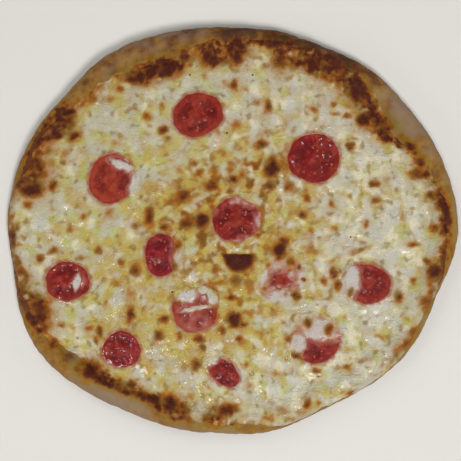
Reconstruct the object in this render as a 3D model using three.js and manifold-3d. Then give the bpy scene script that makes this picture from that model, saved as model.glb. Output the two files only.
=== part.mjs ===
// A whole margherita pizza, hand stretched to an uneven oval: a dough base with a raised rim, a thin
// coat of tomato sauce, a layer of melted mozzarella and twelve slices of small tomatoes sunk into it.
// Millimetres, +Z up. The origin is on the surface the pizza lies on, under the middle of its outline.
import * as THREE from "three";
import { mergeVertices } from "three/addons/utils/BufferGeometryUtils.js";
import Module from "manifold-3d";

// --- Driving dimensions ---------------------------------------------------------------------------

const pizzaWidth = 300; // along X
const pizzaDepth = 270; // along Y
const gap = 0.3; // left between layers that touch

const dough = {
  floor: 4.2, // thickness under the sauce
  rimHeight: 12, // at the crest, before its highs and lows
  belly: 0.42, // share of the rim's height at which it is widest
  foot: 5, // how far the flat underside stays inside the outline
  crest: 7, // from the outline in to the crest
  slope: 16, // from the crest in to the flat floor
};
const sauce = {
  thickness: 0.8,
  bottom: 3, // of the body that the dough is cut out of
  edgeStep: 1.2, // over which its edge comes up to the full thickness
  rows: [8, 15, 25], // further steps in from the edge
};
const cheese = {
  thickness: 4.2, // over the flat floor
  lip: 1.6, // thickness just inside its edge
  lipWidth: 2.5, // over which the edge rounds off
  swell: 22, // from the edge in to the full thickness
  leastMargin: 1.2, // the cheese never hangs past the dough
  bottom: 3.6, // of the body that dough and sauce are cut out of
};
const tomato = {
  base: 7, // height of the slices' undersides
  thickness: 3.9,
  bevel: 0.8,
  cellDepth: 0.7, // that the seed cells have sunk below the walls
  wall: 0.74, // shares of the radius: the inside of the outer wall,
  cell: 0.5, // the middle of the seed cells
  core: 0.2, // and the edge of the core
};

// The melted surface's swells and hollows: height, and the lengths along X and Y over which they turn.
const broadSwell = { high: 0.45, alongX: 9, alongY: 11 };
const crossSwell = { high: 0.3, alongX: 6.1, alongY: 8.3 };

// Highs and lows round the pizza: each is centred on an angle and fades over a spread, in degrees.
const outlineLobes = [
  { at: 33, spread: 16, out: -1.6 },
  { at: 117, spread: 18, out: 3.8 },
  { at: 190, spread: 8, out: -1.2 },
  { at: 215, spread: 15, out: 6.8 },
  { at: 269, spread: 14, out: 0.9 },
  { at: 303, spread: 18, out: -4.2 },
  { at: 339, spread: 15, out: -5 },
];
const rimHeightLobes = [
  { at: 33, spread: 25, out: 1.8 },
  { at: 118, spread: 30, out: 1.5 },
  { at: 180, spread: 20, out: -2.6 },
  { at: 230, spread: 20, out: 1.5 },
  { at: 305, spread: 25, out: -3.2 },
];
const bareRim = 8; // of dough between the outline and the cheese
const bareRimLobes = [
  { at: 33, spread: 13, out: 10 },
  { at: 60, spread: 9, out: -5 },
  { at: 118, spread: 24, out: 7 },
  { at: 180, spread: 22, out: -7 },
  { at: 218, spread: 13, out: 6 },
  { at: 242, spread: 11, out: 5 },
  { at: 308, spread: 34, out: -8 },
];
const sauceShows = -4; // how far the sauce reaches past the cheese
const sauceShowsLobes = [
  { at: 62, spread: 8, out: 5.5 },
  { at: 160, spread: 13, out: 6.8 },
  { at: 196, spread: 8, out: 6 },
  { at: 350, spread: 9, out: 6.5 },
];

// Tomato slices: centre, the longer and the shorter diameter, the turn of the longer one from +X, the
// angle they lean by and the way they lean, and how many seed cells they show.
const slices = [
  { x: -23, y: 76.9, long: 35, wide: 31, turn: 15, lean: 2, toward: 200, cells: 3 },
  { x: 53.8, y: 48.2, long: 36, wide: 35, turn: 0, lean: 1, toward: 90, cells: 2 },
  { x: -79.8, y: 34.5, long: 35, wide: 32, turn: 80, lean: 2, toward: 45, cells: 2 },
  { x: 2.7, y: 7.6, long: 35, wide: 31, turn: 10, lean: 1, toward: 100, cells: 3 },
  { x: -47, y: -15.9, long: 31, wide: 24, turn: 88, lean: 3, toward: 0, cells: 2 },
  { x: -109.3, y: -33.3, long: 31.5, wide: 27.5, turn: -10, lean: 2, toward: 20, cells: 2 },
  { x: 33.1, y: -32.6, long: 32, wide: 29, turn: 30, lean: 1, toward: 270, cells: 3 },
  { x: 89.5, y: -34.8, long: 32, wide: 28, turn: -20, lean: 3, toward: 175, cells: 3 },
  { x: -25.2, y: -53.1, long: 31.5, wide: 30, turn: 0, lean: 2, toward: 80, cells: 3 },
  { x: -73.4, y: -78.6, long: 27.5, wide: 25.5, turn: 10, lean: 1, toward: 300, cells: 2 },
  { x: 55.4, y: -72.3, long: 35, wide: 31, turn: 15, lean: 2, toward: 120, cells: 3 },
  { x: -5.8, y: -93.7, long: 26, wide: 17, turn: -42, lean: 3, toward: 140, cells: 2 },
];

// Cheese that has run over the slices: centre, size and turn of each tongue.
const tongueRise = 1.5; // over its own middle
const tongueSunk = 0.2; // of its middle under the top of the slices
const tongues = [
  { x: -73, y: 43.5, long: 20, wide: 7.5, turn: -22 },
  { x: -65, y: 29, long: 24, wide: 9, turn: 85 },
  { x: 12, y: 22, long: 17, wide: 8, turn: -14 },
  { x: -35.5, y: -15, long: 28, wide: 9, turn: 88 },
  { x: -103, y: -33.8, long: 13, wide: 6.5, turn: 82 },
  { x: 19.5, y: -31, long: 26, wide: 13, turn: 82 },
  { x: 33, y: -20.5, long: 30, wide: 14, turn: 10 },
  { x: 47.5, y: -33, long: 28, wide: 14, turn: 90 },
  { x: 34, y: -45, long: 34, wide: 15, turn: -5 },
  { x: 79, y: -33, long: 26, wide: 13, turn: 85 },
  { x: -30, y: -42.5, long: 18, wide: 11, turn: 10 },
  { x: -23.5, y: -51.2, long: 26, wide: 5, turn: 9 },
  { x: 57, y: -64, long: 38, wide: 19, turn: -10 },
  { x: 42.5, y: -76, long: 23, wide: 13, turn: 75 },
  { x: -13.5, y: -84.5, long: 16, wide: 9, turn: 40 },
];

// Browned blisters and scorched patches that stand out of the cheese: centre, size, turn and rise.
const blisters = [
  { x: 4.3, y: -20.6, long: 23, wide: 14, turn: 0, rise: 1.8 },
  { x: 31.3, y: -12.3, long: 9, wide: 11, turn: 0, rise: 1.4 },
  { x: -20, y: 6.6, long: 8, wide: 8, turn: 0, rise: 1.2 },
  { x: 0.3, y: -59, long: 11, wide: 11, turn: 0, rise: 1.3 },
  { x: 25.6, y: 41.8, long: 11, wide: 13, turn: 0, rise: 1.4 },
  { x: -51, y: 106, long: 34, wide: 13, turn: 24, rise: 2 },
  { x: -5, y: 119, long: 27, wide: 13, turn: 0, rise: 1.8 },
  { x: 30, y: 114, long: 16, wide: 20, turn: 0, rise: 1.2 },
  { x: 62, y: 107, long: 33, wide: 18, turn: -30, rise: 1.8 },
  { x: 82, y: 91, long: 15, wide: 18, turn: -40, rise: 1.8 },
  { x: 94, y: 70, long: 23, wide: 18, turn: -45, rise: 2 },
  { x: 116, y: 49, long: 25, wide: 12, turn: -58, rise: 1.6 },
  { x: 136, y: 13, long: 26, wide: 11, turn: -80, rise: 1.6 },
  { x: 133, y: -27, long: 12, wide: 9, turn: 70, rise: 1.4 },
  { x: 114, y: -74, long: 20, wide: 11, turn: 45, rise: 1.4 },
  { x: -112, y: 70, long: 20, wide: 17, turn: 60, rise: 1.8 },
  { x: -132, y: 35, long: 26, wide: 17, turn: 75, rise: 1.8 },
  { x: -128, y: -54, long: 22, wide: 14, turn: -65, rise: 1.8 },
  { x: -94, y: -93, long: 13, wide: 11, turn: -45, rise: 1.8 },
  { x: -68, y: -106, long: 40, wide: 8, turn: -22, rise: 1.4 },
  { x: -37, y: -118, long: 19, wide: 12, turn: -10, rise: 1.8 },
  { x: -3, y: -119, long: 14, wide: 8, turn: 0, rise: 1.2 },
];

// How finely each piece is faceted.
const facets = { dough: 66, sauce: 54, cheese: 76, slice: 18, tongueRound: 10, tongueRings: 5 };

// --- The pizza's form -----------------------------------------------------------------------------

const radians = Math.PI / 180;

function lobeSum(list, angle) {
  return list.reduce((sum, { at, spread, out }) => {
    const away = THREE.MathUtils.euclideanModulo(angle - at + 180, 360) - 180;
    return sum + out * Math.exp(-((away / spread) ** 2));
  }, 0);
}

function wave(angle, cycles, size, phase) {
  return size * Math.sin(cycles * angle * radians + phase);
}

// The dough's widest line, as a distance from the middle. Angles are in degrees from +X.
function outlineRadius(angle) {
  const across = Math.cos(angle * radians) / (pizzaWidth / 2);
  const along = Math.sin(angle * radians) / (pizzaDepth / 2);
  const hand = wave(angle, 9, 0.5, 1) + wave(angle, 14, 0.35, 2);
  return 1 / Math.hypot(across, along) + lobeSum(outlineLobes, angle) + hand;
}

function rimHeight(angle) {
  const bubbles = wave(angle, 6, 0.4, 0.5) + wave(angle, 11, 0.35, 1.9) + wave(angle, 17, 0.25, 0);
  return dough.rimHeight + lobeSum(rimHeightLobes, angle) + bubbles;
}

// Height of the dough's upper side at a distance in from the outline.
function doughTop(angle, inset) {
  const high = rimHeight(angle);
  if (inset >= dough.crest) {
    const down = THREE.MathUtils.smootherstep(inset, dough.crest, dough.crest + dough.slope);
    return THREE.MathUtils.lerp(high, dough.floor, down);
  }
  const belly = high * dough.belly;
  const outward = 1 - Math.max(inset, 0) / dough.crest;
  return belly + (high - belly) * Math.sqrt(1 - outward ** 2);
}

function cheeseRadius(angle) {
  const runs = wave(angle, 7, 0.9, 0.6) + wave(angle, 13, 1.1, 2.1) + wave(angle, 19, 0.8, 4);
  const margin = bareRim + lobeSum(bareRimLobes, angle) + runs;
  return outlineRadius(angle) - Math.max(margin, cheese.leastMargin);
}

function sauceRadius(angle) {
  const reach = sauceShows + lobeSum(sauceShowsLobes, angle);
  return Math.min(cheeseRadius(angle) + reach, outlineRadius(angle) - cheese.leastMargin);
}

// Thickness of the cheese at a distance in from its edge.
function cheeseThickness(inset) {
  const outward = 1 - Math.min(inset / cheese.lipWidth, 1);
  const body = THREE.MathUtils.smoothstep(inset, 0, cheese.swell);
  return cheese.lip * Math.sqrt(1 - outward ** 2) + (cheese.thickness - cheese.lip) * body;
}

// A patch's share at a point: 1 at its centre, 0 at its edge and beyond.
function patchShare(patch, x, y) {
  const turn = patch.turn * radians;
  const along = (x - patch.x) * Math.cos(turn) + (y - patch.y) * Math.sin(turn);
  const across = (y - patch.y) * Math.cos(turn) - (x - patch.x) * Math.sin(turn);
  return Math.max(0, 1 - Math.hypot(along / (patch.long / 2), across / (patch.wide / 2)) ** 2);
}

// Swells and hollows of the melted surface, with its blisters.
function cheeseRelief(x, y) {
  const broad = Math.sin(x / broadSwell.alongX + 1.3) * Math.sin(y / broadSwell.alongY + 0.4);
  const cross = Math.sin(x / crossSwell.alongX - y / crossSwell.alongY + 2);
  const rise = blisters.reduce((most, b) => Math.max(most, b.rise * patchShare(b, x, y) ** 0.7), 0);
  return broadSwell.high * broad + crossSwell.high * cross + rise;
}

// --- Making solids --------------------------------------------------------------------------------

const wasm = await Module();
wasm.setup();

function solidOf(geometry) {
  const bare = geometry.clone();
  bare.deleteAttribute("normal");
  bare.deleteAttribute("uv");
  const merged = mergeVertices(bare, 1e-4);
  return new wasm.Manifold(
    new wasm.Mesh({
      numProp: 3,
      vertProperties: merged.attributes.position.array,
      triVerts: new Uint32Array(merged.index.array),
    }),
  );
}

function geometryOf(solid) {
  const mesh = solid.getMesh();
  const geometry = new THREE.BufferGeometry();
  geometry.setAttribute("position", new THREE.BufferAttribute(mesh.vertProperties, 3));
  geometry.setIndex(new THREE.BufferAttribute(mesh.triVerts, 1));
  geometry.computeVertexNormals();
  return geometry;
}

// The largest of a solid's separate bodies, so that a cut leaves no loose scrap.
function largestBody(solid) {
  return solid.decompose().reduce((most, body) => (body.volume() > most.volume() ? body : most));
}

// A closed body lofted once round the Z axis. sectionAt(angle) gives its half section at an angle in
// degrees, as [radius, height] pairs from the axis below, out and up, to the axis above.
function loftRound(sectionAt, steps) {
  const lathe = new THREE.LatheGeometry(
    sectionAt(0).map(([radius, height]) => new THREE.Vector2(radius, height)),
    steps,
  );
  for (let step = 0; step <= steps; step++) {
    const angle = (360 * (step % steps)) / steps;
    const section = sectionAt(angle);
    section.forEach(([radius, height], row) => {
      const x = radius * Math.cos(angle * radians);
      const y = radius * Math.sin(angle * radians);
      lathe.attributes.position.setXYZ(step * section.length + row, x, y, height);
    });
  }
  lathe.computeVertexNormals();
  return lathe;
}

// --- The pieces -----------------------------------------------------------------------------------

// The dough, or the dough with its upper side and its outline moved out by grow.
function makeDough(grow = 0) {
  const underSteps = 3;
  const shoulderSteps = 3;
  const slopeSteps = 5;
  return loftRound((angle) => {
    const radius = outlineRadius(angle) + grow;
    const belly = rimHeight(angle) * dough.belly;
    const section = [[0, 0]];
    for (let step = 0; step < underSteps; step++) {
      const turn = (step / underSteps) * (Math.PI / 2);
      section.push([radius - dough.foot * (1 - Math.sin(turn)), belly * (1 - Math.cos(turn))]);
    }
    for (let step = 0; step <= shoulderSteps; step++) {
      const inset = dough.crest * (1 - Math.cos((step / shoulderSteps) * (Math.PI / 2)));
      section.push([radius - inset, doughTop(angle, inset) + grow]);
    }
    for (let step = 1; step <= slopeSteps; step++) {
      const inset = dough.crest + (dough.slope * step) / slopeSteps;
      section.push([radius - inset - 2 * grow, doughTop(angle, inset) + grow]);
    }
    section.push([radius / 2, dough.floor + grow], [0, dough.floor + grow]);
    return section;
  }, facets.dough);
}

// The sauce before the dough is cut out of it.
function makeSauceBlock(grow = 0) {
  const rows = [0, sauce.edgeStep, ...sauce.rows];
  return loftRound((angle) => {
    const edge = sauceRadius(angle);
    const inner = outlineRadius(angle) - edge;
    const section = [[0, sauce.bottom], [edge + grow, sauce.bottom]];
    for (const row of rows) {
      const height = doughTop(angle, inner + row) + gap + grow;
      const outward = row === 0 ? grow : -grow;
      section.push([edge + outward - row, height + sauce.thickness * (row === 0 ? 0.5 : 1)]);
    }
    section.push([0, dough.floor + gap + sauce.thickness + grow]);
    return section;
  }, facets.sauce);
}

// The cheese before everything it lies on, and the slices in it, are cut out of it.
function makeCheeseBlock() {
  const shares = [1, 0.994, 0.98, 0.95, 0.91, 0.865, 0.815, 0.76, 0.7, 0.63];
  shares.push(0.555, 0.475, 0.39, 0.3, 0.21, 0.13, 0.06, 0);
  return loftRound((angle) => {
    const edge = cheeseRadius(angle);
    const section = [[0, cheese.bottom], [edge, cheese.bottom]];
    for (const share of shares) {
      const radius = edge * share;
      const inset = edge - radius;
      const x = radius * Math.cos(angle * radians);
      const y = radius * Math.sin(angle * radians);
      const under = doughTop(angle, outlineRadius(angle) - radius) + 2 * gap + sauce.thickness;
      const settled = THREE.MathUtils.smoothstep(inset, 0, cheese.lipWidth * 2);
      section.push([radius, under + cheeseThickness(inset) + settled * cheeseRelief(x, y)]);
    }
    return section;
  }, facets.cheese);
}

// A tomato slice's radius at an angle, uneven round its skin.
function sliceRadius({ long, wide }, seed, angle) {
  const across = Math.cos(angle * radians) / (long / 2);
  const along = Math.sin(angle * radians) / (wide / 2);
  const uneven = wave(angle, 2, 0.25, seed) + wave(angle, 3, 0.3, seed * 2.3);
  return 1 / Math.hypot(across, along) + uneven;
}

// A tomato slice about its own middle, lying on Z = 0: a bevelled disc whose seed cells have sunk
// between the walls that part them.
function makeSlice(slice, seed) {
  const { bevel, cellDepth, thickness } = tomato;
  return loftRound((angle) => {
    const radius = sliceRadius(slice, seed, angle);
    const sunk = cellDepth * (0.5 + wave(angle, slice.cells, 0.5, seed));
    return [
      [0, 0],
      [radius - bevel, 0],
      [radius, bevel],
      [radius, thickness - bevel],
      [radius - bevel, thickness],
      [radius * tomato.wall, thickness],
      [radius * tomato.cell, thickness - sunk],
      [radius * tomato.core, thickness - sunk * 0.25],
      [0, thickness],
    ];
  }, facets.slice);
}

// The room that a slice takes up in the cheese, with the gap round it.
function makePocket(slice, seed) {
  const top = tomato.thickness + gap;
  return loftRound((angle) => {
    const radius = sliceRadius(slice, seed, angle) + gap;
    return [[0, -gap], [radius, -gap], [radius, top], [0, top]];
  }, facets.slice);
}

// A tongue of cheese: a flattened ball with its middle at the top of the slices.
function makeTongue({ x, y, long, wide, turn }) {
  const ball = new THREE.SphereGeometry(1, facets.tongueRound, facets.tongueRings);
  ball.rotateX(Math.PI / 2);
  ball.scale(long / 2, wide / 2, tongueRise);
  ball.rotateZ(turn * radians);
  ball.translate(x, y, tomato.base + tomato.thickness - tongueSunk);
  return ball;
}

function cookedMaterial(colour, roughness) {
  return new THREE.MeshStandardMaterial({ color: colour, roughness, metalness: 0 });
}

const bakedDough = cookedMaterial(0xb98a55, 0.8);
const tomatoPulp = cookedMaterial(0xa3341f, 0.35);
const meltedCheese = cookedMaterial(0xe3d7a8, 0.4);
const tomatoFlesh = cookedMaterial(0xb03a2c, 0.25);

function namedMesh(name, geometry, material) {
  const mesh = new THREE.Mesh(geometry, material);
  mesh.name = name;
  return mesh;
}

const pizza = new THREE.Group();
const grownDough = solidOf(makeDough(gap));
pizza.add(namedMesh("pizza_crust", makeDough(), bakedDough));

const sauceSolid = largestBody(solidOf(makeSauceBlock()).subtract(grownDough));
pizza.add(namedMesh("tomato_sauce", geometryOf(sauceSolid), tomatoPulp));

let cheeseSolid = tongues.reduce(
  (solid, tongue) => solid.add(solidOf(makeTongue(tongue))),
  solidOf(makeCheeseBlock()),
);
cheeseSolid = cheeseSolid.subtract(grownDough).subtract(solidOf(makeSauceBlock(gap)));

const slicesGroup = new THREE.Group();
slicesGroup.position.z = tomato.base;
slices.forEach((slice, index) => {
  const seed = index + 1;
  const name = "tomato_slice_" + String(seed).padStart(2, "0");
  const mesh = namedMesh(name, makeSlice(slice, seed), tomatoFlesh);
  const leanAxis = new THREE.Vector3(1, 0, 0).applyAxisAngle(
    new THREE.Vector3(0, 0, 1),
    (slice.toward + 90) * radians,
  );
  mesh.position.set(slice.x, slice.y, 0);
  mesh.quaternion
    .setFromAxisAngle(leanAxis, slice.lean * radians)
    .multiply(new THREE.Quaternion().setFromEuler(new THREE.Euler(0, 0, slice.turn * radians)));
  slicesGroup.add(mesh);
  slicesGroup.updateMatrixWorld(true);
  const pocket = makePocket(slice, seed).applyMatrix4(mesh.matrixWorld);
  cheeseSolid = cheeseSolid.subtract(solidOf(pocket));
});
pizza.add(namedMesh("melted_mozzarella", geometryOf(largestBody(cheeseSolid)), meltedCheese));
pizza.add(slicesGroup);

export default pizza;
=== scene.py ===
# A whole margherita pizza on a pale studio floor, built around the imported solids.
# Sizes are millimetres and angles are degrees from +X; every mesh ends up in metres, +Z up.
import math
from collections import namedtuple

import bmesh
import bpy
import numpy as np
from mathutils import Matrix, Vector
from mathutils.bvhtree import BVHTree


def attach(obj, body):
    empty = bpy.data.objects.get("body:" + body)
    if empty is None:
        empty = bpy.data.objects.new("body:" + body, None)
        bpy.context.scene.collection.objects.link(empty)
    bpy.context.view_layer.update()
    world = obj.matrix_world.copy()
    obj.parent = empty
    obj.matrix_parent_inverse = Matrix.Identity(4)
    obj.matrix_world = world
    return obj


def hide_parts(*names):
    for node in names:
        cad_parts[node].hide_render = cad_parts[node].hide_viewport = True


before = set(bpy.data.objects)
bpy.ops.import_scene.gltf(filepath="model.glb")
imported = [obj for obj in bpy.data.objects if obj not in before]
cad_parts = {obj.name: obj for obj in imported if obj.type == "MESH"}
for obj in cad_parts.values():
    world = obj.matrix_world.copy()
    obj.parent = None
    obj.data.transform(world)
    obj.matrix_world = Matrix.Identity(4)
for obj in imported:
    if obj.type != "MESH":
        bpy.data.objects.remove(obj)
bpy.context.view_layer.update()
mm = 0.001
tiny = 0.001  # in millimetres, for comparisons
lattice = 64  # cells before the noise repeats
Patch = namedtuple("Patch", "x y long wide much turn", defaults=[0])


def patches(*rows):
    return [Patch(*row) for row in rows]


# noise and masks; at is an array with a row of x and a row of y

def smooth(values, low, high):
    share = np.clip((values - low) / (high - low), 0, 1)
    return share * share * (3 - 2 * share)


def smoother(share):
    return share**3 * (share * (share * 6 - 15) + 10)


def fade(away, reach):
    return np.exp(-((away / reach) ** 2))


def drift(at, size, seed):  # smooth noise, about -1 to 1
    angles = np.random.default_rng(seed).uniform(0, 2 * math.pi, (lattice, lattice))
    cell = np.floor(at / size).astype(int)
    u, v = at / size - cell

    def corner(right, up):
        turn = angles[(cell[0] + right) % lattice, (cell[1] + up) % lattice]
        return np.cos(turn) * (u - right) + np.sin(turn) * (v - up)

    low = corner(0, 0) + smoother(u) * (corner(1, 0) - corner(0, 0))
    high = corner(0, 1) + smoother(u) * (corner(1, 1) - corner(0, 1))
    return 1.5 * (low + smoother(v) * (high - low))


def drifts(at, *layers):  # noise in layers: how high, how long, seed
    return sum(high * drift(at, size, seed) for high, size, seed in layers)


def pillows(at, size, seed):  # distance to the nearest lump's middle, softened between two lumps
    middles = np.random.default_rng(seed).uniform(0.1, 0.9, (lattice, lattice, 2))
    across, along = at / size
    column, row = np.floor(at / size).astype(int)
    sharp = 14
    total = np.zeros_like(across)
    for right in (-1, 0, 1):
        for up in (-1, 0, 1):
            middle = middles[(column + right) % lattice, (row + up) % lattice]
            awayX, awayY = column + right + middle[:, 0] - across, row + up + middle[:, 1] - along
            total += np.exp(-sharp * (awayX**2 + awayY**2))
    return np.sqrt(np.clip(-np.log(total) / sharp, 0, None))


def wander(at, size, far, seed):  # the points moved about, so that shapes lose their neat edges
    return at + far * np.array([drift(at, size, seed), drift(at, size, seed + 1)])


def ellipseFar(at, patch):  # 0 at a patch's centre, 1 on its edge
    x, y, turn = at[0] - patch.x, at[1] - patch.y, math.radians(patch.turn)
    along = x * math.cos(turn) + y * math.sin(turn)
    across = y * math.cos(turn) - x * math.sin(turn)
    return np.hypot(along / (patch.long / 2), across / (patch.wide / 2))


def around(at, patch, reach):  # which points are near a patch's centre
    return (np.abs(at[0] - patch.x) < reach) & (np.abs(at[1] - patch.y) < reach)


def raiseTo(field, near, values):
    field[near] = np.maximum(field[near], values)


def polar(at):
    return np.degrees(np.arctan2(at[1], at[0])), np.hypot(at[0], at[1])


def cartesian(angle, radius):
    return radius * np.array([np.cos(np.radians(angle)), np.sin(np.radians(angle))])


def lobeSum(angle, lobes):
    total = np.zeros_like(angle)
    for middle, spread, out in lobes:
        total += out * fade((angle - middle + 180) % 360 - 180, spread)
    return total


def waves(angle, *layers):  # how many round the circle, how high, phase
    return sum(high * np.sin(np.radians(cycles * angle) + phase) for cycles, high, phase in layers)


def ovalRadius(angle, long, wide):
    across, along = cartesian(angle, 1)
    return 1 / np.hypot(across / (long / 2), along / (wide / 2))


def turned(degrees):
    return Matrix.Rotation(math.radians(degrees), 4, "Z")


def quarterTurn(steps):  # angles from 0 up to a right angle
    return np.arange(steps + 1) / steps * math.pi / 2


def zoneSum(at, zones):
    total = np.zeros_like(at[0])
    for x, y, size, much in zones:
        total += much * fade(np.hypot(at[0] - x, at[1] - y), size)
    return np.clip(total, 0, 1)


# meshes

def readRows(items, name):
    values = np.empty(len(items) * 3)
    items.foreach_get(name, values)
    return values.reshape(-1, 3)


def readPoints(mesh):
    return readRows(mesh.vertices, "co") / mm


def writePoints(mesh, points):
    mesh.vertices.foreach_set("co", (points * mm).ravel())
    mesh.update()


def writeShares(mesh, **shares):  # numbers from 0 to 1 at the points, which a material reads
    for name, values in shares.items():
        layer = mesh.attributes.new(name, "FLOAT", "POINT")
        layer.data.foreach_set("value", np.clip(values, 0, 1).astype(np.float32))


def meshOf(build, name):
    build.normal_update()
    mesh = bpy.data.meshes.new(name)
    build.to_mesh(mesh)
    build.free()
    mesh.shade_smooth()
    return mesh


def added(name, data):  # a new object in the scene
    item = bpy.data.objects.new(name, data)
    bpy.context.scene.collection.objects.link(item)
    return item


def place(mesh, name, material, slot, *nodes):
    piece = added(name, mesh)
    mesh.materials.append(material)
    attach(piece, "root")
    if nodes:
        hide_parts(*nodes)


def spun(name, profile, steps, closed=False):  # a round body from half a section, or a ring
    build = bmesh.new()
    points = [build.verts.new((radius * mm, 0, height * mm)) for radius, height in profile]
    following = points[1:] + points[:1] if closed else points[1:]
    edges = [build.edges.new(pair) for pair in zip(points, following)]
    bmesh.ops.spin(
        build, geom=points + edges, cent=(0, 0, 0), axis=(0, 0, 1),
        angle=2 * math.pi, steps=steps, use_merge=True,
    )
    bmesh.ops.remove_doubles(build, verts=build.verts, dist=tiny * mm)
    bmesh.ops.recalc_face_normals(build, faces=build.faces)
    return meshOf(build, name)


# shader nodes

def rgb(red, green, blue):  # screen colour, 0 to 255, as the linear colour that shaders take
    def linear(value):
        value /= 255
        return value / 12.92 if value <= 0.04045 else ((value + 0.055) / 1.055) ** 2.4
    return (linear(red), linear(green), linear(blue), 1)


bakeLook = {  # of browned spots, on dough and cheese alike; screen colours as in every look
    "gold": (190, 141, 54), "amber": (174, 106, 26), "olive": (146, 114, 42),
    "brown": (114, 58, 22), "scorched": (80, 32, 18),
}


def operators(operation):  # between two signals or numbers, either way round
    def direct(self, other):
        return self.recipe.maths(operation, self, other)

    def reflected(self, other):
        return self.recipe.maths(operation, other, self)
    return direct, reflected


class Signal:  # a shader socket that sums and products can be written with
    __add__, __radd__ = operators("ADD")
    __sub__, __rsub__ = operators("SUBTRACT")
    __mul__, __rmul__ = operators("MULTIPLY")

    def __init__(self, recipe, socket):
        self.recipe = recipe
        self.socket = socket

    def between(self, low, high):  # 0 below low, 1 above high, smooth in between
        settings = {"interpolation_type": "SMOOTHSTEP"}
        sockets = {"Value": self, "From Min": low, "From Max": high}
        return self.recipe.node("ShaderNodeMapRange", settings, sockets)


class Recipe:  # a material under construction; a colour may be given by its name in the look
    def __init__(self, name, look):
        self.material = bpy.data.materials.new(name)
        self.material.use_nodes = True
        self.tree = self.material.node_tree
        self.shader = self.tree.nodes["Principled BSDF"]
        self.where = self.node("ShaderNodeTexCoord", output="Object")
        self.look = {name: rgb(*colour) for name, colour in {**bakeLook, **look}.items()}
        self.colour = None

    def node(self, kind, settings=None, sockets=None, output=0):
        made = self.tree.nodes.new(kind)
        for key, value in (settings or {}).items():
            setattr(made, key, value)
        self.fill(made, sockets or {})
        return Signal(self, made.outputs[output])

    def fill(self, made, sockets):
        for key, value in sockets.items():
            if isinstance(value, Signal):
                self.tree.links.new(value.socket, made.inputs[key])
            else:
                made.inputs[key].default_value = value

    def maths(self, operation, first, second):
        return self.node("ShaderNodeMath", {"operation": operation}, {0: first, 1: second})

    def mix(self, share, low, high, way="MIX"):
        low, high = (self.look.get(colour, colour) for colour in (low, high))
        settings = {"data_type": "RGBA", "blend_type": way}
        return self.node("ShaderNodeMix", settings, {0: share, 6: low, 7: high}, output=2)

    def paint(self, colour, share, way="MIX"):  # over the colour so far
        self.colour = self.mix(share, self.colour, colour, way)

    def ramp(self, share, *stops):
        made = self.node("ShaderNodeValToRGB", None, {"Fac": share})
        elements = made.socket.node.color_ramp.elements
        while len(elements) < len(stops):
            elements.new(1)
        for element, (position, name) in zip(elements, stops):
            element.position, element.color = position, self.look[name]
        return made

    def noise(self, size, detail=2, rough=0.5):
        sockets = {"Vector": self.where, "Scale": 1 / (size * mm), "Detail": detail, "Roughness": rough}
        return self.node("ShaderNodeTexNoise", None, sockets)

    def share(self, name):
        return self.node("ShaderNodeAttribute", {"attribute_name": name}, output="Fac")

    def bump(self, height, distance, strength=1.0):
        sockets = {"Height": height, "Distance": distance * mm, "Strength": strength}
        return self.node("ShaderNodeBump", None, sockets, output="Normal")

    def browned(self, broad, fine):  # the colour so far with baked spots over it
        share = self.share("browned")
        share = share + ((broad - 0.5) * 0.25 + (fine - 0.5) * 0.08) * share.between(0.03, 0.35)
        amber = self.mix(self.noise(9, 1).between(0.42, 0.64) * 0.85, "amber", "olive")
        light = self.mix(share.between(0.1, 0.5), "gold", amber)
        dark = self.ramp(share, (0.75, "brown"), (1, "scorched"))
        baked = self.mix(share.between(0.42, 0.85), light, dark)
        return self.mix(share.between(-0.02, 0.6), self.colour, baked)

    def finish(self, **sockets):
        sockets = {"Base_Color": self.colour, "Subsurface_Scale": 1.0, **sockets}
        self.fill(self.shader, {key.replace("_", " "): value for key, value in sockets.items()})
        return self.material


# the outline, an oval stretched by listed lobes and waves, as the imported solids have it

pizza = {
    "width": 300,
    "depth": 270,
    "outlineLobes": [  # angle, spread, how far out
        (33, 16, -1.6), (117, 18, 3.8), (190, 8, -1.2), (215, 15, 6.8),
        (269, 14, 0.9), (303, 18, -4.2), (339, 15, -5),
    ],
    "outlineWaves": [(9, 0.5, 1), (14, 0.35, 2)],
}
halfWidth = pizza["width"] / 2


def outlineRadius(angle):
    oval = ovalRadius(angle, pizza["width"], pizza["depth"])
    return oval + lobeSum(angle, pizza["outlineLobes"]) + waves(angle, *pizza["outlineWaves"])


# dough

dough = {
    "floor": 4.2,
    "rimHeight": 12,
    "belly": 0.42,  # share of the height where the rim is widest
    "foot": 5,
    "crest": 7,
    "slope": 16,
    "footSteps": 9,
    "shoulderSteps": 12,
    "slopeSteps": 15,
    "underRows": [60, 25, 12, 8],  # of the underside, in from the edge
    "hidden": 24,  # inside this the floor keeps to a share of the radius
    "rimLobes": [(33, 25, 1.8), (118, 30, 1.5), (180, 20, -2.6), (230, 20, 1.5), (305, 25, -3.2)],
    "rimWaves": [(6, 0.4, 0.5), (11, 0.35, 1.9), (17, 0.25, 0)],
    "steps": 900,
    "slant": 0.7,  # of the noise against the height, so that steep sides have it too
    "bubble": 12,  # size of the baked bubbles
    "bubbleRise": 1.1,
    "wrinkles": [(0.22, 3.2, 23), (0.09, 1.7, 24)],
    # the lobes darken the crust by angle: browner baking, and at the top side (about 48° to 108°) painted
    # shade as well
    "bakedAndShadedLobes": [  # angle, spread, how much darker
        (3, 9, -0.45), (18, 7, -0.1), (33, 12, -0.2), (56, 9, 0.55), (70, 12, 0.5), (88, 12, 0.5),
        (104, 12, 0.25), (130, 10, 0.05), (148, 8, -0.08), (186, 5, 0.3), (197, 9, 0.25),
        (238, 13, -0.25), (266, 11, -0.15), (322, 9, -0.15), (342, 8, -0.1),
    ],
    "flouryLobes": [(234, 16, 0.95), (32, 13, 0.75), (110, 20, 0.45), (264, 10, 0.3), (312, 20, 0.4)],
}
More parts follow.
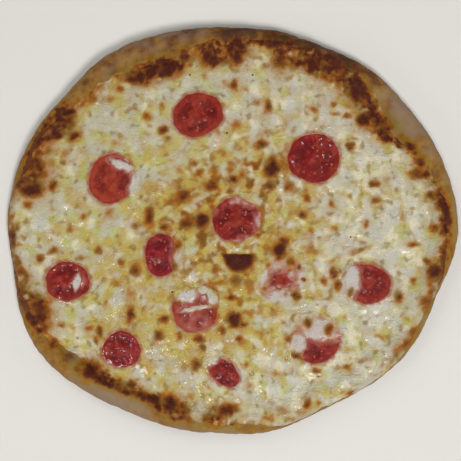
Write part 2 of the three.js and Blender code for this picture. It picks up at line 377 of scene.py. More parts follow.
doughLook = {
    "floury": (142, 120, 105), "pale": (152, 124, 84), "golden": (144, 102, 46),
    "toasted": (106, 66, 36), "dark": (80, 50, 32),
}


def rimHeight(angle):
    return dough["rimHeight"] + lobeSum(angle, dough["rimLobes"]) + waves(angle, *dough["rimWaves"])


def doughTop(high, inset):
    down = smoother(np.clip((inset - dough["crest"]) / dough["slope"], 0, 1))
    outward = 1 - np.clip(inset, 0, dough["crest"]) / dough["crest"]
    belly = high * dough["belly"]
    shoulder = belly + (high - belly) * np.sqrt(1 - outward**2)
    return np.where(inset >= dough["crest"], high + (dough["floor"] - high) * down, shoulder)


def slanted(at, z):
    return at + dough["slant"] * np.array([z, -z])


def bubbleFar(at):  # distance to the middle of the nearest bubble
    return pillows(wander(at, 16, 3, 21), dough["bubble"], 22)


def doughRelief(at, z):
    at = slanted(at, z)
    return dough["bubbleRise"] * (0.45 - bubbleFar(at) ** 2) + drifts(at, *dough["wrinkles"])


def bareShare(angle, radius):  # 0 under the cheese, 1 past it
    return smooth(radius - cheeseRadius(angle), -5, 0)


def doughSurface(at, angle, radius):  # height of the finished dough
    high = doughTop(rimHeight(angle), outlineRadius(angle) - radius)
    return high + bareShare(angle, radius) * (doughRelief(at, high) + blisterRise(at))


def doughProfile():
    belly, crest = dough["rimHeight"] * dough["belly"], dough["crest"]
    foot, shoulder = quarterTurn(dough["footSteps"])[:-1], quarterTurn(dough["shoulderSteps"])
    slope = dough["slope"] * np.arange(1, dough["slopeSteps"] + 1) / dough["slopeSteps"]
    insets = np.append(crest * (1 - np.cos(shoulder)), crest + slope)
    profile = [(0, 0)] + [(halfWidth - row, 0) for row in dough["underRows"]]
    profile += zip(halfWidth - dough["foot"] * (1 - np.sin(foot)), belly * (1 - np.cos(foot)))
    profile += zip(halfWidth - insets, doughTop(dough["rimHeight"], insets))
    return profile + [(halfWidth - dough["underRows"][0], dough["floor"]), (0, dough["floor"])]


def makeDough():
    mesh = spun("dough", doughProfile(), dough["steps"])
    points = readPoints(mesh)
    at, z = points.T[:2], points.T[2]  # views, which follow the points
    angle, radius = polar(at)
    inset = halfWidth - radius
    high, outline = rimHeight(angle), outlineRadius(angle)
    onSlope = (inset > dough["crest"] + tiny) & (z > dough["floor"] - tiny)
    slopeShare = (z - dough["floor"]) / (dough["rimHeight"] - dough["floor"])
    slopeHeight = dough["floor"] + slopeShare * (high - dough["floor"])
    points[:, 2] = np.where(onSlope, slopeHeight, z * high / dough["rimHeight"])
    hidden = dough["hidden"]
    shrunk = radius / (halfWidth - hidden) * (outline - hidden)
    at[:] = cartesian(angle, np.where(inset < hidden, outline - inset, shrunk))
    writePoints(mesh, points)

    bare = bareShare(angle, outline - inset) * smooth(z, 0.2, 2.5)
    rise = blisterRise(at) * smooth(z, 6, 9)
    points += readRows(mesh.vertex_normals, "vector") * (bare * (doughRelief(at, z) + rise))[:, None]
    points[:, 2] = np.maximum(z, 0)
    writePoints(mesh, points)

    spot = slanted(at, z)
    patchy = drifts(spot, (0.5, 15, 31), (0.4, 6, 32))
    upward = smooth(z, high * 0.3, high * 0.85)
    baked = 0.2 + 0.2 * upward * smooth(inset, 0.5, 5) + 0.45 * patchy + 0.35 * (0.4 - bubbleFar(spot))
    # darker by angle round the rim, mostly at the outer edge: browner baking, and painted shade on the top
    # side
    baked += lobeSum(angle, dough["bakedAndShadedLobes"]) * (1 - 0.7 * smooth(inset, 4, 10))
    flour = 0.6 * (1 - smooth(z, high * 0.35, high * 0.9)) + 0.35 * drift(spot, 9, 33)
    flour += lobeSum(angle, dough["flouryLobes"])
    under = z < 0.3
    writeShares(
        mesh, baked=np.where(under, 0.4 + 0.35 * patchy, baked),
        browned=browning(at) * smooth(z, 3.5, 8.5), floury=np.where(under, 0.35 + 0.3 * patchy, flour),
    )
    return mesh


def doughMaterial():
    recipe = Recipe("baked_dough", doughLook)
    broad, fine, grain = recipe.noise(5, 3, 0.6), recipe.noise(1.6, 3, 0.6), recipe.noise(0.6, 2)
    baked = recipe.share("baked") + (broad - 0.5) * 1.1 + (fine - 0.5) * 0.5
    recipe.colour = recipe.ramp(baked, (0, "pale"), (0.35, "golden"), (0.75, "toasted"), (1, "dark"))
    flour = recipe.share("floury") + (recipe.noise(9, 2) - 0.5) * 1.2
    flour = flour + (fine - 0.5) * 0.5 + (grain - 0.5) * 0.4
    recipe.paint("floury", flour.between(0.2, 0.95) * 0.8)
    recipe.paint(recipe.browned(broad, fine), 1.0, "DARKEN")
    return recipe.finish(
        Roughness=0.72 - recipe.share("browned") * 0.2 - (fine - 0.5) * 0.3,
        Normal=recipe.bump(broad * 0.3 + fine * 0.5 + grain * 0.3, 0.6, 0.7),
        Specular_IOR_Level=0.12, Subsurface_Weight=0.06, Subsurface_Radius=(0.004, 0.002, 0.001),
    )


# tomato sauce

sauce = {
    "thickness": 0.8,
    "reach": -4,  # past the cheese's edge
    "reachLobes": [(62, 8, 5.5), (160, 13, 6.8), (196, 8, 6), (350, 9, 6.5)],
    "steps": 720,
    "rows": [0, 0.5, 1.2, 2, 3, 4.2, 5.5, 7, 9, 12, 16, 20],  # in from its edge
    "underRows": [20, 10, 0.4],
    "ragged": [(0.8, 5, 41), (0.4, 2, 42)],
}
sauceLook = {"bright": (150, 70, 36), "dark": (112, 50, 26), "dried": (104, 54, 28)}


def sauceRadius(angle):
    reach = sauce["reach"] + lobeSum(angle, sauce["reachLobes"])
    return np.minimum(cheeseRadius(angle) + reach, outlineRadius(angle) - cheese["leastMargin"])


def makeSauce():
    profile = [(halfWidth - row, 1) for row in sauce["rows"]]
    profile += [(halfWidth - row, 0) for row in sauce["underRows"]]
    mesh = spun("sauce", profile, sauce["steps"], closed=True)
    points = readPoints(mesh)
    angle, radius = polar(points.T)
    row = halfWidth - radius
    placed = sauceRadius(angle) + drifts(points.T[:2], *sauce["ragged"]) - row
    at = cartesian(angle, placed)
    film = sauce["thickness"] * (0.75 + 0.25 * drift(at, 2.6, 43))
    film = film * np.sqrt(1 - (1 - np.clip(row / 1.5, 0, 1)) ** 2) + 0.2
    isTop = points[:, 2] > 0.5
    height = doughSurface(at, angle, placed) + np.where(isTop, film, 0.02)
    writePoints(mesh, np.vstack([at, height]).T)
    writeShares(mesh, browned=browning(at))
    return mesh


def sauceMaterial():
    recipe = Recipe("tomato_sauce", sauceLook)
    pulp, fine = recipe.noise(3, 3, 0.6), recipe.noise(0.9, 2)
    recipe.colour = recipe.mix(pulp.between(0.35, 0.65), "dark", "bright")
    recipe.paint("dried", recipe.share("browned").between(0.2, 0.8))
    return recipe.finish(
        Roughness=0.45 + fine * 0.3, Normal=recipe.bump(pulp * 0.6 + fine * 0.4, 0.5, 0.7),
        Specular_IOR_Level=0.12, Coat_Weight=0.08, Coat_Roughness=0.15, Subsurface_Weight=0.1,
        Subsurface_Radius=(0.003, 0.0008, 0.0004),
    )


# browned spots and the band round the rim

# x, y, long, wide, how dark (0.3 golden, 0.6 brown, 1 scorched), turn
browned = patches(
    # round the rim, from the right by way of the top
    (141.6, 11.3, 23, 7, 0.95, -83), (137.6, 17.5, 9, 9, 0.8), (131.5, 23.6, 8, 8, 0.6),
    (132.9, 33, 5, 5, 0.55), (133.5, 1.9, 8, 7, 0.6), (144, -11, 24, 9, 0.5, -80),
    (122.7, 38.5, 12, 9, 0.65, 20), (124.7, 45.2, 9, 11, 0.7), (117.9, 56.1, 12, 5, 0.85, -40),
    (111.2, 60.1, 9, 7, 0.7, -30), (101.7, 62.2, 9, 7, 0.8), (97.6, 72.3, 24, 15, 0.62, -40),
    (86.8, 73.7, 9, 10, 0.92), (91.5, 85.2, 8, 5, 0.8, -40), (82.7, 92.6, 16, 16, 0.88, -50),
    (71.9, 99.4, 13, 2.4, 0.8), (67.8, 109.5, 26, 15, 0.7, -15), (52.9, 112, 13, 11, 0.72, -30),
    (44.1, 121.1, 4, 4, 0.8), (31.3, 113, 13, 16, 0.62), (25.2, 123.1, 9, 8, 0.75),
    (22.4, 109.6, 8, 4, 0.35), (2.8, 115, 11, 11, 0.8), (-7.3, 112.6, 14, 5, 0.62),
    (-16.9, 115.7, 9, 12, 0.88), (-5, 118, 24, 10, 0.5), (-31.1, 115, 8, 8, 0.72),
    (-27.7, 110.2, 5, 5, 0.4), (-40.5, 108.6, 12, 8, 1, 15), (-52.7, 107.2, 17, 11, 0.82, 24),
    (-61.2, 102.1, 11, 11, 0.92), (-73.4, 103.1, 7, 7, 0.4), (-75.4, 94.6, 6, 6, 0.5),
    (-93, 91.5, 5, 4, 0.62), (-93.4, 87.9, 11, 8, 0.48), (-81.2, 87.9, 11, 6, 0.35),
    (-112.3, 79.8, 8, 6, 0.9), (-107.6, 71.7, 9, 9, 0.65), (-113, 72, 15, 15, 0.6),
    (-116.4, 64.9, 7, 9, 0.88), (-104.9, 62.9, 9, 5, 0.75, 35), (-127.2, 60.1, 12, 4.5, 0.85),
    (-112.3, 45.2, 5, 6, 0.45), (-130.6, 43.9, 17, 16, 0.62), (-133.3, 26.9, 17, 10, 0.88),
    (-119.1, 29.3, 7, 9, 0.6), (-135.3, 17.1, 8, 6, 0.52), (-145.5, -4.2, 19, 6, 0.72, 90),
    (-142.1, 2.6, 5, 8, 0.4), (-138, -4.2, 5, 4, 0.35), (-139.4, -27.9, 12, 6, 0.55),
    (-138.7, -37.4, 14, 12, 0.5), (-127.2, -51, 24, 13, 0.68, -65), (-134, -56.4, 8, 10, 0.9),
    (-131.3, -61.1, 8, 6, 0.92), (-124.2, -56.4, 4, 6, 0.85), (-119.1, -75.6, 4, 9, 0.75, 15),
    (-114.4, -82.4, 10, 8, 0.45), (-111, -88.5, 6, 6, 0.55), (-94, -92.5, 13, 15, 0.85, -40),
    (-86.6, -99.3, 12, 6, 0.82, -30), (-76.4, -102.7, 12, 8, 0.62, -25), (-67.6, -102, 9, 6, 0.6),
    (-71, -106.7, 13, 4, 0.8, -15), (-60.9, -108.1, 10, 6, 0.75, -20), (-52.7, -111.5, 14, 6, 0.85, -12),
    (-41.2, -114.2, 14, 13, 0.82), (-32.4, -118.9, 10, 9, 0.62), (-17.5, -123.6, 9, 7, 0.6),
    (-3.3, -118.3, 15, 9, 0.72), (-27.7, -109.5, 5, 7, 0.35), (22.4, -123.6, 10, 4, 0.42),
    (31.9, -118.3, 11, 7, 0.32), (49.5, -114.2, 6, 9, 0.58), (57, -113.5, 5, 5, 0.42),
    (78.6, -107.5, 7, 3.5, 0.5, 25), (108.5, -81, 8, 10, 0.45), (114.6, -74.3, 19, 8, 0.52, 35),
    (119.3, -66.8, 12, 8, 0.5, 40), (128.1, -46.9, 11, 11, 0.55), (132.9, -27.2, 13, 10, 0.85, 70),
    (128.8, -20.4, 5, 7, 0.5),
    # in the middle
    (2.5, -33, 10, 13, 0.45), (31.3, -12.3, 9, 11, 0.95), (34.6, -6.6, 8, 8, 0.55),
    (-20.2, 6.6, 10, 10, 0.88), (-31, 4.2, 12, 9, 0.55), (-45.3, 2.6, 8, 6, 0.55),
    (0.8, -58.6, 10.5, 11, 0.85), (6.9, -62.4, 5, 5, 0.6), (26.5, 41.5, 11, 14, 0.82),
    (25.2, 29.7, 7, 9, 0.5), (36.7, 29.7, 8, 9, 0.5), (-31.7, 23.6, 11, 10, 0.6),
    (-14.1, 29.7, 12, 10, 0.55), (0.8, 34.4, 8, 8, 0.6), (-55.4, 10, 8, 14, 0.62), (-64.2, 3.2, 7, 6, 0.42),
    (-35.8, -9.6, 6, 8, 0.55), (-38.5, -23, 7, 9, 0.5), (17, -2.9, 5, 5, 0.5), (38.7, -20.5, 8, 8, 0.5),
    (42.7, -43.5, 7, 6, 0.62), (-1.3, -44.2, 9, 5, 0.5), (-11.4, -25.9, 6, 7, 0.42),
    (46.5, 10.7, 7, 7, 0.55), (49.6, 21.5, 7, 7, 0.58),
    # on the cheese over the slices
    (43.7, -23.8, 4, 4, 0.6), (47, -32.5, 4, 3, 0.7), (41.7, -42.4, 6, 5, 0.65), (24, -22, 5, 4, 0.4),
    (30.4, -17.9, 6, 5, 0.5), (38, -26.5, 5, 3, 0.4, 20), (21, -38, 4, 4, 0.4), (-35, -47.5, 5, 4, 0.5),
    (78, -40, 6, 5, 0.45),
    # over the rest of the cheese
    (-46, 66.9, 8, 7, 0.6), (-42.6, 60.8, 6, 5, 0.42), (-56.5, 75.7, 7, 7, 0.52), (-46.6, 82.5, 5, 6, 0.4),
    (1.1, 97, 6.5, 8, 0.62), (23.5, 82.5, 7, 10, 0.6), (16, 85, 7, 6, 0.35), (2.1, 70.3, 8, 7, 0.38),
    (19, 57.2, 10, 7, 0.52, 20), (-25.6, 44.5, 6, 6, 0.42), (-20.9, 39.1, 7, 6, 0.48),
    (-13.4, 48.6, 5, 8, 0.38), (53.6, 80.4, 8, 6, 0.45), (67.2, 77.7, 8, 4, 0.4), (75.9, 76.4, 7, 5, 0.5),
    (67.2, 84.5, 5, 5, 0.4), (78, 56.1, 7, 7, 0.6), (94.2, 31, 9, 6, 0.58), (94.6, 20.2, 8, 7, 0.52),
    (88.8, 4.6, 5, 6, 0.45), (102.3, 34, 6, 9, 0.3), (112.5, 10, 4, 10, 0.32), (119.3, -9, 8, 5, 0.55),
    (65.8, 18.1, 6, 6, 0.45), (52.2, -13, 8, 7, 0.4), (66.5, -27.9, 6, 9, 0.62), (69.8, -36, 5, 8, 0.6),
    (60.4, -33.3, 7, 6, 0.5), (84, -12.8, 18, 5, 0.38, 20), (77.3, -42.1, 5, 5, 0.45),
    (110, -43.5, 8, 9, 0.62), (120, -33, 5, 5, 0.5), (49.5, -61.1, 7, 8, 0.62), (63.8, -65.5, 7, 9, 0.6),
    (42.7, -82.4, 9, 6, 0.6, -30), (55, -92.5, 8, 5, 0.5), (75.9, -90.5, 7, 6, 0.5),
    (85.4, -85.8, 13, 5, 0.32), (98.3, -70.2, 8, 4, 0.4, -30), (36.7, -71.5, 6, 6, 0.4),
    (4.2, -71.5, 6, 6, 0.55), (-6.7, -66.1, 7, 6, 0.52), (-22.2, -71.5, 11, 6, 0.58),
    (-20.2, -77.6, 6, 7, 0.48), (-35.1, -69.5, 6, 7, 0.45), (-48.7, -69.5, 8, 9, 0.6),
    (-45.3, -58.4, 9, 6, 0.58), (-24.3, -88.5, 8, 9, 0.6), (-67.6, -55.5, 6, 12, 0.68, -10),
    (-67, -42.1, 9, 8, 0.32), (-77.8, -34.7, 10, 6, 0.35), (-64.2, -25.8, 8, 10, 0.55, -20),
    (-73.7, -20.5, 6, 7, 0.5), (-88.6, -13, 6, 7, 0.52), (-100.1, -17.8, 12, 4, 0.36),
    (-118.4, -13, 8, 6, 0.55), (-127.2, -18.4, 6, 7, 0.52), (-98.8, 9.3, 6, 6, 0.48),
    (-107.6, 1.2, 6, 8, 0.42), (-81.8, 11.4, 8, 8, 0.34), (-94.7, -64.4, 7, 5, 0.52),
    (-87.9, -66.5, 5, 9, 0.6, 15), (-90, -73, 4, 8, 0.5, 10), (-113.7, -62.7, 6, 5, 0.45),
)
halfBlister = Patch(4, -14.8, 23, 28, 1.15)  # the scorched one in the middle, cut straight at its centre
halfBlisterFade = 3.5  # over which its straight side fades
# angle, where the band starts and stops in from the outline, how dark
rimBand = [
    (0, 6, 11, 0.8), (8, 7, 12, 0.85), (12, 5, 13, 0.6), (17, 8, 20, 0.6), (22, 10, 17, 0.45),
    (27, 12, 19, 0.55), (33, 15, 28, 0.8), (39, 14, 30, 0.85), (43, 12, 24, 0.65), (47, 12, 24, 0.9),
    (52, 3, 20, 0.8), (57, 0, 20, 0.9), (63, 0, 19, 0.95), (68, 0, 18, 0.9), (74, 0, 22, 0.9),
    (79, 0, 12, 0.8), (84, 0, 14, 0.8), (88, 1, 22, 0.95), (94, 6, 24, 0.85), (98, 8, 24, 0.75),
    (103, 8, 20, 0.45), (108, 12, 27, 0.9), (115, 14, 29, 0.95), (121, 15, 28, 0.95), (126, 8, 20, 0.35),
    (134, 6, 16, 0.45), (140, 4, 14, 0.45), (145, 0, 14, 0.9), (149, 0, 22, 0.85), (153, 0, 11, 0.85),
    (158, -1, 15, 0.6), (163, -2, 20, 0.68), (168, -1, 18, 0.68), (171, 0, 4, 0.2), (178, 0, 3, 0.5),
    (186, 0, 4, 0.4), (190, 0, 9, 0.6), (196, 1, 9, 0.7), (201, 3, 19, 0.8), (205, 3, 18, 0.8),
    (210, 3, 14, 0.5), (216, 3, 13, 0.45), (222, 8, 16, 0.42), (227, 8, 18, 0.75), (232, 10, 17, 0.7),
    (238, 10, 18, 0.6), (243, 11, 16, 0.8), (249, 5, 18, 0.85), (254, 4, 17, 0.68), (259, 2, 7, 0.35),
    (264, 3, 16, 0.52), (268, 3, 17, 0.56), (273, 0, 6, 0.5), (279, 0, 10, 0.4), (285, 0, 12, 0.32),
    (292, 0, 10, 0.22), (298, 0, 2, 0.1), (315, 0, 1, 0.1), (322, 0, 6, 0.35), (328, 0, 7, 0.4),
    (333, 0, 2, 0.2), (339, 0, 6, 0.32), (346, 2, 10, 0.5), (352, 1, 10, 0.6),
]
freckles = {"count": 280, "reach": 142, "long": (3, 8), "wide": (2.5, 6), "dark": (0.08, 0.34)}


def scatterFreckles():  # small golden spots by the hundred
    rng = np.random.default_rng(17)
    spots = []
    for _ in range(freckles["count"]):
        angle, radius = rng.uniform(0, 360), freckles["reach"] * math.sqrt(rng.uniform(0, 1))
        x, y = cartesian(angle, radius) * (1, pizza["depth"] / pizza["width"])
        long, wide = rng.uniform(*freckles["long"]), rng.uniform(*freckles["wide"])
        turn, dark = rng.uniform(0, 180), rng.uniform(*freckles["dark"])
        spots.append(Patch(x, y, long, wide, dark, turn))
    return spots


def bandShare(at):
    angle, radius = polar(at)
    rows = np.array(rimBand)
    start, stop, dark = (np.interp(angle, rows[:, 0], rows[:, column], period=360) for column in (1, 2, 3))
    inset = outlineRadius(angle) - radius + drifts(at, (2.4, 9, 18), (1.8, 4, 19))
    share = (inset - start) / (stop - start + 2)
    body = smooth(share, -0.2, 0.3) * (1 - smooth(share, 0.65, 1.2))
    fringe = 0.34 * smooth(inset, -1, 1) * (1 - smooth(np.abs(share - 0.5), 0.3, 0.9))
    blotches = 0.74 + drifts(at, (0.55, 8, 27), (0.4, 3.5, 28), (0.2, 1.8, 29))
    gaps = smooth(drifts(at, (1, 4.6, 30), (0.4, 2, 34)), -0.75, -0.2)
    return dark * np.maximum(body * blotches, fringe) * (0.35 + 0.65 * gaps)


def browning(at):  # 0 pale, 1 scorched
    warped = wander(wander(at, 5, 1.1, 11), 2.2, 0.5, 13)
    total = bandShare(at)
    halo = np.zeros_like(total)
    for patch in browned + scatterFreckles():
        near = around(at, patch, patch.long + patch.wide + 6)
        far = ellipseFar(warped[:, near], patch)
        raiseTo(total, near, patch.much * (1 - smooth(far, 0, 1.45)))
        raiseTo(halo, near, 0.42 * patch.much * fade(far, 2.3))
    far = np.maximum(ellipseFar(at, halfBlister), 1 + (at[1] - halfBlister.y) / halfBlisterFade)
    total = np.maximum(total, halfBlister.much * (1 - smooth(far, 0.55, 1.15)))
    breaks = 1 + drifts(at, (0.2, 3.6, 15), (0.1, 1.8, 16))
    return total * breaks + halo * (1 - 0.4 * np.clip(total, 0, 1))


# melted cheese

cheese = {
    "thickness": 4.2,
    "lip": 0.35,  # thickness where the melted edge ends
    "lipWidth": 3,
    "swell": 22,
    "leastMargin": 0.6,
    "overDough": 0.12,
    "overSauce": 0.6,
    "bareRim": 8,
    "bareRimLobes": [
        (33, 13, 10), (60, 9, -5), (118, 24, 7), (180, 22, -7),
        (218, 13, 6), (242, 11, 5), (308, 34, -8),
    ],
    "edgeWaves": [(7, 0.9, 0.6), (13, 1.1, 2.1), (19, 0.8, 4)],
    "edgeTears": [(1.3, 5, 52), (0.9, 2.4, 53), (0.4, 1.1, 54)],
    "grid": 250,
    "underRows": (0.3, 7, 14, 24),  # the underside's rings, in from the edge
    "fineBand": 0.9,  # to each side of the line where the cheese ends on a slice
    "fineCuts": 2,
    "broadSwell": (0.45, 9, 11),  # how high, how long across and along
    "crossSwell": (0.3, 6.1, 8.3),
    "lump": 11,
    "lumpRise": 0.9,
    "curd": 5,
    "curdRise": 1.05,
    "fineRise": [(0.28, 3, 61), (0.15, 1.6, 62)],
    "shreds": 420,
    "shredLong": (7, 17),
    "shredWide": (2.4, 4.2),
    "shredRise": 0.4,
}
cheeseLook = {
    # milk and lilac are whiter mozzarella, brightened as well to stand for a painted highlight
    "cream": (203, 195, 140), "leaf": (194, 197, 124), "milk": (236, 228, 198),
    "lilac": (216, 212, 202), "rosy": (196, 164, 116), "yolk": (204, 185, 92),
    # whey and oil are the cheese's own colours; the darkest one here is painted shade, laid in the valleys
    # between curds and lumps
    "whey": (202, 199, 184), "oil": (194, 162, 80), "paintedShade": (146, 118, 70),
    "juice": (168, 98, 74),  # where tomato juice has run into the edge round a slice
    "skim": (210, 202, 196),  # of the cheese that lies on a slice
    "blush": (186, 132, 118),
    "veil": (154, 76, 64),  # cheese so thin that the tomato under it shows
}
# blisters that stand out: x, y, long, wide, rise, turn
blisters = patches(
    (4.3, -20.6, 23, 14, 1.8), (31.3, -12.3, 9, 11, 1.4), (-20, 6.6, 8, 8, 1.2), (0.3, -59, 11, 11, 1.3),
    (25.6, 41.8, 11, 13, 1.4), (-51, 106, 34, 13, 2, 24), (-5, 119, 27, 13, 1.8), (30, 114, 16, 20, 1.2),
    (62, 107, 33, 18, 1.8, -30), (82, 91, 15, 18, 1.8, -40), (94, 70, 23, 18, 2, -45),
    (116, 49, 25, 12, 1.6, -58), (136, 13, 26, 11, 1.6, -80), (133, -27, 12, 9, 1.4, 70),
    (114, -74, 20, 11, 1.4, 45), (-112, 70, 20, 17, 1.8, 60), (-132, 35, 26, 17, 1.8, 75),
    (-128, -54, 22, 14, 1.8, -65), (-94, -93, 13, 11, 1.8, -45), (-68, -106, 40, 8, 1.4, -22),
    (-37, -118, 19, 12, 1.8, -10), (-3, -119, 14, 8, 1.2),
)
# cheese run over the slices: x, y, long, wide, rise, turn
tongues = patches(
    (-73, 43.5, 20, 7, 0.8, -22), (-65, 29, 24, 9, 0.8, 85), (12, 22, 17, 7, 0.7, -14),
    (14, -5, 16, 6, 0.6, 20), (-35.5, -15, 28, 8, 0.9, 88), (-103, -33.8, 13, 5.5, 0.9, 82),
    (19.5, -31, 13, 26, 0.55, -8), (33, -20.5, 30, 14, 0.5, 10), (47.5, -33, 14, 28, 0.6),
    (26, -26.5, 9, 6, 0.3, 30), (40, -28, 9, 7, 0.3, -40), (41, -38, 9, 7, 0.3, 30),
    (26, -38.5, 9, 5, 0.3, -20), (34, -45, 34, 15, 0.75, -5), (79, -33, 26, 13, 1, 85),
    (-30, -42.5, 18, 11, 0.9, 10), (-13.5, -44, 9, 13, 0.8, 10), (-19, -39.5, 9, 6, 0.7, -20),
    (-23.5, -51.2, 26, 4.8, 0.8, 9), (57, -64, 38, 19, 1, -10), (42.5, -76, 13, 23, 0.9, -15),
    (-13.5, -84.5, 16, 9, 0.7, 40),
)
# yellow with oil, white with milk, golden brown all over: x, y, size, how much
oilZones = [
    (0, 0, 62, 0.8), (-40, -50, 55, 0.75), (-90, 5, 30, 0.35), (-20, 45, 45, 0.2), (-75, -55, 45, 0.5),
    (20, -75, 40, 0.5), (-60, 30, 45, 0.2), (45, 10, 35, 0.5), (70, -80, 40, 0.3), (100, 35, 20, 0.25),
]
milkZones = [
    (100, -5, 48, 0.8), (30, 88, 42, 0.7), (85, 55, 40, 0.6), (70, -30, 30, 0.4), (90, -85, 45, 0.6),
    (-85, 75, 30, 0.15), (-130, -22, 20, 0.7), (-100, -85, 16, 1), (25, -100, 45, 0.6), (-50, 85, 25, 0.35),
    (-120, 10, 25, 0.3),
]
goldZones = [
    (5, 10, 60, 0.8), (-35, 5, 30, 0.5), (-5, -55, 35, 0.5), (20, 45, 25, 0.4), (-60, -45, 20, 0.3),
    (45, -65, 20, 0.4), (70, -30, 20, 0.3), (60, 85, 30, 0.3), (-115, 55, 30, 0.5),
]


def cheeseRadius(angle):
    margin = cheese["bareRim"] + lobeSum(angle, cheese["bareRimLobes"]) + waves(angle, *cheese["edgeWaves"])
    return outlineRadius(angle) - np.maximum(margin, cheese["leastMargin"])


def meltedEdge(angle):  # the cheese's edge with its small runs and tears
    torn = drifts(cartesian(angle, 60), *cheese["edgeTears"])
    return np.minimum(cheeseRadius(angle) + torn, outlineRadius(angle) - cheese["leastMargin"])


def cheeseThickness(inset):
    outward = 1 - np.clip(inset / cheese["lipWidth"], 0, 1)
    body = smooth(inset, 0, cheese["swell"])
    return cheese["lip"] * np.sqrt(1 - outward**2) + (cheese["thickness"] - cheese["lip"]) * body


def blisterRise(at):
    rise = np.zeros_like(at[0])
    for patch in blisters:
        share = np.clip(1 - ellipseFar(at, patch) ** 2, 0, None)
        rise = np.maximum(rise, patch.much * share**0.7)
    return rise


def shredField(at):  # short melted strokes of grated cheese
    rng = np.random.default_rng(51)
    rise = np.zeros_like(at[0])
    for _ in range(cheese["shreds"]):
        x, y = rng.uniform(-halfWidth, halfWidth), rng.uniform(-pizza["depth"] / 2, pizza["depth"] / 2)
        long, wide = rng.uniform(*cheese["shredLong"]), rng.uniform(*cheese["shredWide"])
        shred = Patch(x, y, long, wide, 1, rng.uniform(0, 180))
        near = around(at, shred, long / 2 + 1)
        raiseTo(rise, near, np.clip(1 - ellipseFar(at[:, near], shred) ** 2, 0, 1))
    return rise


def raggedFar(at, patch):  # 1 on the patch's edge, which wanders
    return ellipseFar(wander(wander(at, 5, 1.2, 66), 2.6, 0.45, 68), patch)


def lapDistance(at, row):  # a slice's height, and how far out from the line where the cheese ends on it
    x, y = at[0] - row.x, at[1] - row.y
    uphill = math.radians(row.toward)
    down = x * math.cos(uphill) + y * math.sin(uphill)
    height = tomato["base"] + tomato["thickness"] - math.tan(math.radians(row.lean)) * down
    angle, radius = polar((x, y))
    lap = tomato["lap"] + drifts(at, (0.7, 7, 64), (0.3, 2.7, 67))
    return height, radius - sliceRadius(row, angle - row.turn) + lap


def sheetPlaces(square):  # where a square sheet's points lie on the round cheese
    angle, share = polar(square * np.sqrt(1 - square[::-1] ** 2 / 2))
    return angle, meltedEdge(angle) * share


def refineLaps(build):  # smaller faces where the cheese ends on a slice
    square = np.array([point.co[:2] for point in build.verts]).T / mm
    at = cartesian(*sheetPlaces(square))
    close = np.zeros(len(build.verts), bool)
    for row in slices:
        near = around(at, row, 22)
        close[near] |= np.abs(lapDistance(at[:, near], row)[1]) < cheese["fineBand"]
    for tongue in tongues:
        near = around(at, tongue, tongue.long / 2 + 3)
        outward = (raggedFar(at[:, near], tongue) - 1) * tongue.wide / 2
        close[near] |= np.abs(outward) < cheese["fineBand"]
    cut = [edge for edge in build.edges if any(close[point.index] for point in edge.verts)]
    bmesh.ops.subdivide_edges(build, edges=cut, cuts=cheese["fineCuts"], use_grid_fill=True)


def cheeseSheet():  # the upper side as a square sheet, the underside as rings that hang below its rim
    build = bmesh.new()
    bmesh.ops.create_grid(build, x_segments=cheese["grid"], y_segments=cheese["grid"], size=mm)
    build.verts.index_update()
    refineLaps(build)
    rim = [edge for edge in build.edges if edge.is_boundary]
    for row in cheese["underRows"]:
        grown = bmesh.ops.extrude_edge_only(build, edges=rim)["geom"]
        rim = [item for item in grown if isinstance(item, bmesh.types.BMEdge) and item.is_boundary]
        for item in grown:
            if isinstance(item, bmesh.types.BMVert):
                item.co.z = -row * mm
    bmesh.ops.contextual_create(build, geom=rim)
    bmesh.ops.recalc_face_normals(build, faces=build.faces)
    return meshOf(build, "cheese")


def lapOverSlices(at, height):  # ends the cheese on each slice's skin
    juice, overTomato = np.zeros_like(height), np.zeros_like(height)
    for row in slices:
        near = around(at, row, 34)
        top, fromLap = lapDistance(at[:, near], row)
        past = np.clip(fromLap, 0, None)
        lapped = top + tomato["lapRise"] + 0.12 * drift(at[:, near], 4, 65)
        beside = fade(past, 4.5)
        dipped = np.maximum(lapped + tomato["lapFall"] * fromLap, top - tomato["sunk"])
        height[near] = np.where(fromLap < 0, dipped, height[near] * (1 - beside) + lapped * beside)
        raiseTo(juice, near, fade(past, 2.3))
        raiseTo(overTomato, near, 1 - smooth(fromLap, -1, 0.8))
    return juice, overTomato


def runOverSlices(at, height):  # lays the tongues on the slices
    overRun = np.zeros_like(height)
    for tongue in tongues:
        near = around(at, tongue, tongue.long / 2 + 4)
        far = raggedFar(at[:, near], tongue)
        outward = (far - 1) * tongue.wide / 2
        bulge = tongue.much * np.clip(1 - far**2, 0, 1) ** 0.6 + 0.2 * drift(at[:, near], 2.6, 69)
        run = tomato["tongueBase"] + np.where(far < 1, bulge, -tomato["lapFall"] * outward)
        raiseTo(height, near, np.where(outward < 1.6, run, 0))
        raiseTo(overRun, near, min(1.2 * tongue.much, 1) * (1 - smooth(far, 0.2, 1.15)))
    return overRun


